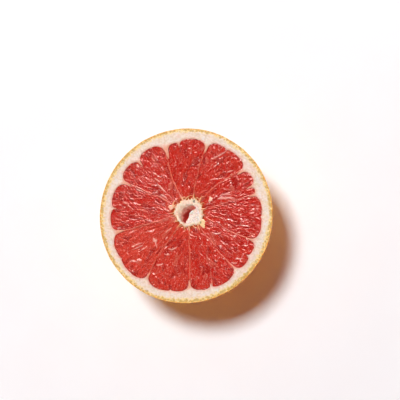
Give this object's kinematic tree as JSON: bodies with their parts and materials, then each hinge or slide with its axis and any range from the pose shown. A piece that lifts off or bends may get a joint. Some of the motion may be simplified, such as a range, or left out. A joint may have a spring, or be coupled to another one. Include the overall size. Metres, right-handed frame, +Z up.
{
  "type": "halved grapefruit",
  "caption": "Half of a red-fleshed grapefruit cut across its segments, resting on its rind with the wet cut face and open core facing up.",
  "frame": {"origin": "middle of the small flat spot that the half rests on, straight below the middle of the cut face", "axes": "+Z up, along the fruit's own axis, from the rest spot to the cut face; +X and +Y across the cut face"},
  "size_m": [0.105, 0.105, 0.048],
  "materials": {
    "peel": "satin yellow-orange rind, dimpled by oil glands",
    "pith": "matte cream, faintly pink, spongy",
    "flesh": "wet deep red juice sacs, translucent",
    "seed": "smooth cream"
  },
  "bodies": {
    "root": {"grapefruit_half": "peel"}
  },
  "joints": []
}
